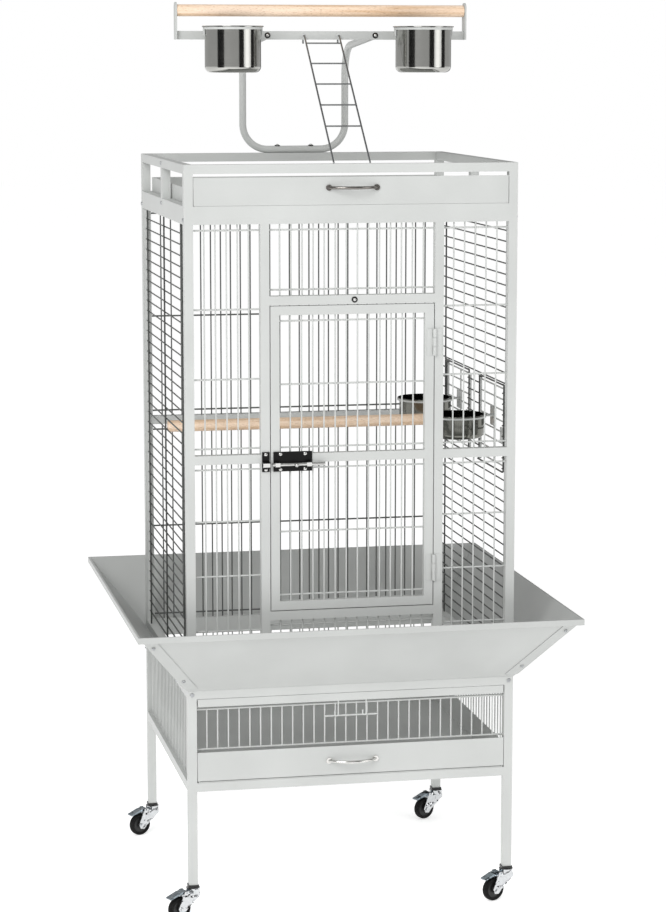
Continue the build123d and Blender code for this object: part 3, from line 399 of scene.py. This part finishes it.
class WheelSizes(bpy.types.PropertyGroup):
    """Shape of the caster wheels."""
    shoulder: bpy.props.FloatProperty(
        name="Shoulder", description="Rounding of the tread", default=0.003, unit="LENGTH")
    wall: bpy.props.FloatProperty(
        name="Wall", description="Height of the rubber round the hub", default=0.0055, unit="LENGTH")
    dish: bpy.props.FloatProperty(
        name="Dish", description="Depth of the hub's recess", default=0.0015, unit="LENGTH")
    boss: bpy.props.FloatProperty(
        name="Boss", description="Radius of the hub's middle", default=0.006, unit="LENGTH")


class ScrewSizes(bpy.types.PropertyGroup):
    """Shape of the screw heads."""
    head: bpy.props.FloatProperty(
        name="Head", description="Radius of a screw head", default=0.0034, unit="LENGTH")
    rise: bpy.props.FloatProperty(
        name="Rise", description="Height of a screw head", default=0.0018, unit="LENGTH")
    small: bpy.props.FloatProperty(
        name="Small", description="Scale of the seed guard's screws", default=0.85)


class BoltSizes(bpy.types.PropertyGroup):
    """Shape of the bolts and of the latch's screws."""
    washer: bpy.props.FloatProperty(
        name="Washer", description="Radius of the dark washer", default=0.005, unit="LENGTH")
    dome: bpy.props.FloatProperty(
        name="Dome", description="Radius of the bolt's round head", default=0.0029, unit="LENGTH")
    screw: bpy.props.FloatProperty(
        name="Screw", description="Radius of a latch screw", default=0.0031, unit="LENGTH")


class StudioLight(bpy.types.PropertyGroup):
    """Lights and camera of the studio."""
    key: bpy.props.FloatProperty(
        name="Key", description="Soft light in front, on the left", default=94.0, unit="POWER")
    fill: bpy.props.FloatProperty(
        name="Fill", description="Soft light on the right", default=26.0, unit="POWER")
    sky: bpy.props.FloatProperty(name="Sky", description="Light that the white room gives", default=0.52)
    lens: bpy.props.FloatProperty(name="Lens", description="Focal length", default=105.99)
    paper: bpy.props.StringProperty(name="Paper", description="Floor colour", default="#F7F7F7")


class BIRDCAGE_OT_coats(bpy.types.Operator):
    """Gives every CAD node its finish"""
    bl_idname = "birdcage.coats"
    bl_label = "Coat the Frames"

    def execute(self, context):
        look = context.scene.cage_finish
        by_slot = {
            "frame_coat": powder_coat("chalk_white_powder_coat", linear(look.coat)),
            "tray_coat": powder_coat("tray_powder_coat", linear(look.tray), 0.38),
            # painted shade: the seed guard takes a darker coat than the frame's
            "guard_coat": powder_coat("seed_guard_powder_coat", linear(look.guard), 0.4),
            "perch_wood": beech("sanded_beech", linear(look.wood), linear(look.grain)),
            "cup_steel": polished_steel("polished_stainless_steel", linear(look.steel)),
            "latch_black": moulded_plastic("satin_black_coat", linear(look.black), 0.38, 420.0),
            "bolt_chrome": plated_metal("bright_nickel_plate", linear("#D4D4D2"), 0.12, 0.24),
            "pull_dark": plated_metal("dark_nickel_plate", linear("#8A8682"), 0.14, 0.26),
            "pull_light": plated_metal("bright_nickel_pull", linear("#DAD9D6"), 0.12, 0.24),
            "dark_fastener": plated_metal("blackened_steel", linear("#3A3A3A"), 0.3, 0.45),
            "screw_steel": plated_metal("zinc_plated_steel", linear("#B9BBBD"), 0.25, 0.4),
            "caster_chrome": pressed_chrome("chromed_pressed_steel", linear("#D2D4D6")),
            "tyre_black": tyre_rubber("black_hard_rubber", linear("#080808"), linear("#1A1918")),
            "brake_grey": pressed_chrome("chromed_brake_tab", linear(look.brake)),
        }
        floor, ceiling = (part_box("cage_back")[end].z for end in (0, 1))
        low, high = floor + TUBE_EDGE, ceiling - TUBE_EDGE
        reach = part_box("cage_back")[1].x - TUBE_EDGE
        # the side and back panels get painted shade on their wires
        side = grille_coat_with_wire_shade("side_wire_powder_coat", linear(look.coat), linear(look.side_wire_shade),
                           [(low, high)], "Y", SIDE_REACH)
        back = grille_coat_with_wire_shade("back_wire_powder_coat", linear(look.coat), linear(look.back_wire_shade),
                           [(low, BACK_RAIL[0]), (BACK_RAIL[1], high)], "X", reach)
        centre = sum(corner.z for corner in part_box("latch_bolt")) / 2
        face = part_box("latch_plate")[1].y - PLATE
        skin = 0.0005
        # the latch plates get a painted highlight along their guides
        latch = coat_with_painted_highlight("worn_black_coat", linear(look.black), linear("#E4E4E2"), centre, face - skin)
        feed = polished_steel("polished_feeder_steel", linear("#7C7C76"))
        cap = moulded_plastic("black_nylon_leg_cap", linear("#0C0C0C"), 0.35, 500.0)
        by_node = {"cage_left": side, "cage_right": side, "cage_back": back, "caster_stems": cap,
                   "latch_plate": latch, "latch_keeper": latch,
                   "feeder_cup_front": feed, "feeder_cup_back": feed,
                   "ladder": plated_metal("ladder_zinc_plate", linear("#A2A4A5"), 0.25, 0.4)}
        for part in frame["record"]["subparts"]:
            node = NODES[part["node"]]
            for holder in node.material_slots:
                holder.material = by_node.get(part["node"], by_slot[part["material_slot"]])
        return {"FINISHED"}


class BIRDCAGE_OT_perches(bpy.types.Operator):
    """Turns the two wooden perches with sanded ends"""
    bl_idname = "birdcage.perches"
    bl_label = "Turn the Perches"

    def execute(self, context):
        sizes = context.scene.perch_sizes
        wood = bpy.data.materials["sanded_beech"]
        for node in ("play_perch", "cage_perch"):
            low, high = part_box(node)
            ends = (low.x, high.x)
            bpy.ops.object.select_all(action="DESELECT")
            bpy.ops.mesh.primitive_cylinder_add(
                vertices=sizes.sides, radius=(high.z - low.z) / 2, depth=high.x - low.x,
                location=(low + high) / 2, rotation=(0, math.pi / 2, 0))
            perch = bpy.context.object
            perch.name = node + "_dowel"
            bpy.ops.object.transform_apply(location=True, rotation=True, scale=True)
            bpy.ops.object.mode_set(mode="EDIT")
            select_edges(lambda co: min(abs(co.x - end) for end in ends) < NEAR)
            bpy.ops.mesh.bevel(offset=sizes.chamfer, segments=3)
            select_faces(lambda co, normal: abs(normal.x) > SQUARE_ON)
            bpy.ops.mesh.inset(thickness=0.003, use_individual=True)
            bpy.ops.object.mode_set(mode="OBJECT")
            settle(perch, "root", "perch_wood", wood)
            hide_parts(node)
        return {"FINISHED"}


class BIRDCAGE_OT_wheels(bpy.types.Operator):
    """Models one caster wheel and copies it to the four forks"""
    bl_idname = "birdcage.wheels"
    bl_label = "Fit the Wheels"

    def execute(self, context):
        sizes = context.scene.wheel_sizes
        low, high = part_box("caster_wheel_front_left")
        radius = (high.z - low.z) / 2
        spin = {j["child"]: j for j in frame["joints"]}
        axis = Vector(spin["wheel_front_left"]["axis"]).normalized()
        reach = (high.x - low.x) - 2 * radius * abs(axis.y)
        width = reach / abs(axis.x)
        bpy.ops.object.select_all(action="DESELECT")
        bpy.ops.mesh.primitive_cylinder_add(vertices=72, radius=radius, depth=width, end_fill_type="NGON")
        wheel = bpy.context.object
        wheel.name = "wheel_model"
        bpy.ops.object.mode_set(mode="EDIT")
        select_edges(lambda co: abs(abs(co.z) - width / 2) < NEAR)
        bpy.ops.mesh.bevel(offset=sizes.shoulder, segments=5)
        select_faces(lambda co, normal: abs(normal.z) > SQUARE_ON)
        bpy.ops.mesh.inset(thickness=sizes.wall - sizes.shoulder, use_individual=True)
        bpy.ops.mesh.inset(thickness=0.0004, depth=-sizes.dish, use_individual=True)
        hub_radius = radius - sizes.wall
        bpy.ops.mesh.inset(thickness=hub_radius - sizes.boss, use_individual=True)
        bpy.ops.mesh.inset(thickness=0.0006, depth=sizes.dish, use_individual=True)
        bpy.ops.object.mode_set(mode="OBJECT")
        wheel.data.materials.append(bpy.data.materials["black_hard_rubber"])
        wheel.data.materials.append(moulded_plastic("hub_black_nylon", linear("#161616"), 0.4, 500.0))
        for face in wheel.data.polygons:
            on_hub = math.hypot(face.center.x, face.center.y) < hub_radius - 0.0001
            face.material_index = 1 if on_hub and abs(face.center.z) > 0.003 else 0
        only(wheel)
        bpy.ops.object.shade_smooth_by_angle(angle=SMOOTH)
        for corner in CORNERS:
            joint = spin["wheel_" + corner]
            node = "caster_wheel_" + corner
            piece = copy_at(wheel, node + "_tyre", facing(joint["pos_m"], joint["axis"]))
            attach(piece, "wheel_" + corner)
            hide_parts(node)
        bpy.data.objects.remove(wheel)
        return {"FINISHED"}


def screw_places():
    """Screws of the frames: (name, place, outward normal)."""
    side_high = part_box("stand_side_right")[1]
    cage_low, cage_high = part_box("cage_front")
    box_low, box_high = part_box("top_side_right")
    hx, hy, tube = cage_high.x, side_high.y, cage_high.y - cage_low.y
    half = tube / 2
    found = []
    for name, s in SIDES:
        found.append((f"stand_front_{name}", (s * (hx - half), -hy, side_high.z - half), (0, -1, 0)))
        for tag, z in (("low", box_low.z + half), ("high", box_high.z - half)):
            found.append((f"strut_{name}_{tag}", (s * hx, 0, z), (s, 0, 0)))
        for side, t in (("front", -1), ("back", 1)):
            y = t * (hy - half)
            found.append((f"roof_{name}_{side}", (s * hx, y, cage_high.z - half), (s, 0, 0)))
    return found


def guard_screw_places():
    """Screws of the seed guard's corner strips, on the slope of each panel."""
    low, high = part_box("apron_front")
    rim, corner = 0.0015, 0.009          # half the rim's fold, and from a corner to its screws
    skin, strip, sunk = 0.0016, 0.0014, 0.76   # the two sheets, and the share of them under a head
    hx, hy = high.x - rim, -low.y - rim
    base_x, base_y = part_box("cage_front")[1].x, -high.y
    rise = high.z - low.z
    found = []
    for share in (0.2, 0.82):
        x = base_x + (hx - base_x) * share
        y = base_y + (hy - base_y) * share
        z = low.z + rise * share
        slope_y = Vector((0, rise, -(hy - base_y))).normalized()
        slope_x = Vector((rise, 0, -(hx - base_x))).normalized()
        for sx in (-1, 1):
            for sy in (-1, 1):
                tag = f"{'l' if sx < 0 else 'r'}{'f' if sy < 0 else 'b'}{round(share * 10)}"
                out_y = Vector((0, sy * slope_y.y, slope_y.z))
                out_x = Vector((sx * slope_x.x, 0, slope_x.z))
                lift = (skin + strip) * sunk
                on_y = Vector((sx * (x - corner), sy * y, z))
                on_x = Vector((sx * x, sy * (y - corner), z))
                found.append((f"guard_y_{tag}", on_y + out_y * lift, out_y))
                found.append((f"guard_x_{tag}", on_x + out_x * lift, out_x))
    return found


class BIRDCAGE_OT_screws(bpy.types.Operator):
    """Models one pan-head screw and copies it to every screw of the frames and the seed guard"""
    bl_idname = "birdcage.screws"
    bl_label = "Fit the Screws"

    def execute(self, context):
        sizes = context.scene.screw_sizes
        bpy.ops.object.select_all(action="DESELECT")
        bpy.ops.mesh.primitive_cylinder_add(
            vertices=32, radius=sizes.head, depth=sizes.rise, location=(0, 0, sizes.rise / 2))
        head = bpy.context.object
        head.name = "screw_model"
        bpy.ops.object.transform_apply(location=True, rotation=True, scale=True)
        bpy.ops.object.mode_set(mode="EDIT")
        select_edges(lambda co: co.z > sizes.rise - 1e-6)
        bpy.ops.mesh.bevel(offset=sizes.rise * 0.6, segments=4)
        bpy.ops.object.mode_set(mode="OBJECT")
        for turn in (0, math.pi / 2):
            bpy.ops.mesh.primitive_cube_add(size=1, location=(0, 0, sizes.rise), rotation=(0, 0, turn))
            slot = bpy.context.object
            slot.scale = (sizes.head * 1.15, sizes.head * 0.24, sizes.rise * 0.9)
            only(head)
            cut = head.modifiers.new("recess", "BOOLEAN")
            cut.operation = "DIFFERENCE"
            cut.object = slot
            bpy.ops.object.modifier_apply(modifier="recess")
            bpy.data.objects.remove(slot)
        head.data.materials.append(bpy.data.materials["zinc_plated_steel"])
        only(head)
        bpy.ops.object.shade_smooth_by_angle(angle=SMOOTH)
        made = []
        for name, place, normal in screw_places():
            made.append(copy_at(head, "screw_" + name, facing(place, normal)))
        small = Matrix.Scale(sizes.small, 4)
        for name, place, normal in guard_screw_places():
            made.append(copy_at(head, "screw_" + name, facing(place, normal) @ small))
        bpy.data.objects.remove(head)
        for piece in made:
            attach(piece, "root")
        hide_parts("frame_screws")
        return {"FINISHED"}


def ring_bolt_places():
    """Bolts with a dark washer: (name, place, outward normal)."""
    bolts_low, bolts_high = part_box("play_bolts")
    bar_x, bar_front = bolts_high.x - 0.005, -0.0015
    base_y, base_top = bolts_high.y - 0.004, bolts_low.z + 0.0127
    found = [(f"bar_{name}", (s * bar_x, bar_front, BAR_BOLT_Z), (0, -1, 0)) for name, s in SIDES]
    found += [(f"base_{name}", (s * BASE_BOLT_X, base_y, base_top), (0, 0, 1)) for name, s in SIDES]
    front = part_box("cage_front")[0].y
    found.append(("header", (HEADER_BOLT[0], front, HEADER_BOLT[1]), (0, -1, 0)))
    return found


class BIRDCAGE_OT_bolts(bpy.types.Operator):
    """Models one bolt with a dark ring washer and copies it to the play stand and the header"""
    bl_idname = "birdcage.bolts"
    bl_label = "Fit the Bolts"

    def execute(self, context):
        sizes = context.scene.bolt_sizes
        bpy.ops.object.select_all(action="DESELECT")
        bpy.ops.mesh.primitive_cylinder_add(
            vertices=40, radius=sizes.washer, depth=WASHER_T, location=(0, 0, WASHER_T / 2))
        washer = bpy.context.object
        bpy.ops.object.transform_apply(location=True, rotation=True, scale=True)
        bpy.ops.object.mode_set(mode="EDIT")
        select_edges(lambda co: co.z > WASHER_T - 0.0001)
        bpy.ops.mesh.bevel(offset=0.0004, segments=3)
        bpy.ops.object.mode_set(mode="OBJECT")
        washer.data.materials.append(bpy.data.materials["blackened_steel"])
        bpy.ops.mesh.primitive_uv_sphere_add(
            segments=32, ring_count=16, radius=sizes.dome, location=(0, 0, WASHER_T))
        dome = bpy.context.object
        dome.scale.z = 0.7
        only(dome)
        bpy.ops.object.transform_apply(location=True, rotation=True, scale=True)
        dome.data.materials.append(bpy.data.materials["bright_nickel_plate"])
        only(washer)
        dome.select_set(True)
        bpy.ops.object.join()
        bpy.ops.object.shade_smooth_by_angle(angle=SMOOTH)
        made = [copy_at(washer, "bolt_" + name, facing(place, normal))
                for name, place, normal in ring_bolt_places()]
        bpy.data.objects.remove(washer)
        for piece in made:
            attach(piece, "root")
        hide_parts("play_bolts")
        return {"FINISHED"}


class BIRDCAGE_OT_latch(bpy.types.Operator):
    """Models the latch's round-headed screws"""
    bl_idname = "birdcage.latch"
    bl_label = "Fit the Latch Screws"

    def execute(self, context):
        sizes = context.scene.bolt_sizes
        below, above = 0.0036, 0.0042        # from a plate's lower and upper edge to its screws
        for node, body, inset in (("latch_plate", "main_door", 0.0118), ("latch_keeper", "root", None)):
            low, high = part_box(node)
            xs = ((low.x + high.x) / 2,) if inset is None else (low.x + inset, high.x - inset)
            spots = [(x, z) for x in xs for z in (low.z + below, high.z - above)]
            for index, (x, z) in enumerate(spots):
                bpy.ops.object.select_all(action="DESELECT")
                bpy.ops.mesh.primitive_uv_sphere_add(
                    segments=32, ring_count=16, radius=sizes.screw, location=(x, high.y - PLATE, z),
                    rotation=(math.pi / 2, 0, 0))
                screw = bpy.context.object
                screw.name = f"{node}_screw_{index}"
                screw.scale.z = 0.5
                settle(screw, body, "bolt_chrome", bpy.data.materials["bright_nickel_plate"])
        return {"FINISHED"}


class BIRDCAGE_OT_stage(bpy.types.Operator):
    """Sets the pale floor, the soft lights and the camera"""
    bl_idname = "birdcage.stage"
    bl_label = "Set the Studio"

    def execute(self, context):
        light = context.scene.studio_light
        bpy.ops.object.select_all(action="DESELECT")
        bpy.ops.mesh.primitive_plane_add(size=FLOOR_SIZE, location=FLOOR_PLACE)
        floor = bpy.context.object
        floor.name = "studio_floor"
        bpy.ops.object.transform_apply(location=True, rotation=True, scale=True)
        floor.data.materials.append(backdrop_paper("studio_paper", linear(light.paper)))
        felt = moulded_plastic("black_flag_felt", linear("#060606"), 0.9, 40.0)
        # flags that only reflections see give the cups and casters their dark stripes
        places = []
        for turn in map(math.radians, FLAG_TURNS):
            x, y = FLAG_DISTANCE * math.cos(turn), FLAG_DISTANCE * math.sin(turn)
            places.append((x, y, FLAG_HEIGHT, math.pi / 2, turn))
        places.append(TOP_FLAG)
        for index, (x, y, z, tilt, turn) in enumerate(places):
            bpy.ops.mesh.primitive_plane_add(size=1, location=(x, y, z), rotation=(0, tilt, turn))
            flag = bpy.context.object
            flag.name = f"studio_flag_{index}"
            flag.scale = FLAG_SIZE
            flag.data.materials.append(felt)
            for sight in ("camera", "diffuse", "shadow", "transmission"):
                setattr(flag, "visible_" + sight, False)
        world = bpy.data.worlds.new("white_room")
        world.use_nodes = True
        seen = add(world, "ShaderNodeLightPath")
        strength = level(world, seen.outputs["Is Camera Ray"], light.sky, 1.0)
        world.node_tree.links.new(strength, world.node_tree.nodes["Background"].inputs["Strength"])
        world.node_tree.nodes["Background"].inputs["Color"].default_value = (1, 1, 1, 1)
        context.scene.world = world
        context.scene.view_settings.view_transform = "Standard"
        for name, size, place, target in LAMPS:
            data = bpy.data.lights.new(name, "AREA")
            data.energy = getattr(light, name)
            data.size = size
            lamp = bpy.data.objects.new(name, data)
            bpy.context.collection.objects.link(lamp)
            lamp.location = place
            lamp.rotation_euler = (Vector(target) - Vector(place)).to_track_quat("-Z", "Y").to_euler()
        data = bpy.data.cameras.new("camera")
        data.lens = light.lens
        data.clip_end = 100
        camera = bpy.data.objects.new("camera", data)
        bpy.context.collection.objects.link(camera)
        camera.location = CAMERA_PLACE
        camera.rotation_euler = (math.radians(90 - CAMERA_DOWN), 0, math.radians(CAMERA_TURN))
        context.scene.camera = camera
        return {"FINISHED"}


class BIRDCAGE_PT_panel(bpy.types.Panel):
    """Lists the cage's operators"""
    bl_label = "Bird Cage"
    bl_idname = "BIRDCAGE_PT_panel"
    bl_space_type = "VIEW_3D"
    bl_region_type = "UI"
    bl_category = "Bird Cage"

    def draw(self, context):
        for operator in OPERATORS:
            self.layout.operator(operator.bl_idname)


GROUPS = {
    "cage_finish": CageFinish,
    "perch_sizes": PerchSizes,
    "wheel_sizes": WheelSizes,
    "screw_sizes": ScrewSizes,
    "bolt_sizes": BoltSizes,
    "studio_light": StudioLight,
}
OPERATORS = (BIRDCAGE_OT_coats, BIRDCAGE_OT_perches, BIRDCAGE_OT_wheels, BIRDCAGE_OT_screws,
             BIRDCAGE_OT_bolts, BIRDCAGE_OT_latch, BIRDCAGE_OT_stage)


def register():
    for kind in (*GROUPS.values(), *OPERATORS, BIRDCAGE_PT_panel):
        bpy.utils.register_class(kind)
    for name, group in GROUPS.items():
        setattr(bpy.types.Scene, name, bpy.props.PointerProperty(type=group))


def unregister():
    for name in GROUPS:
        delattr(bpy.types.Scene, name)
    for kind in (BIRDCAGE_PT_panel, *reversed(OPERATORS), *reversed(list(GROUPS.values()))):
        bpy.utils.unregister_class(kind)


def main():
    register()
    bpy.ops.birdcage.coats()
    bpy.ops.birdcage.perches()
    bpy.ops.birdcage.wheels()
    bpy.ops.birdcage.screws()
    bpy.ops.birdcage.bolts()
    bpy.ops.birdcage.latch()
    bpy.ops.birdcage.stage()


if __name__ == "__main__":
    main()
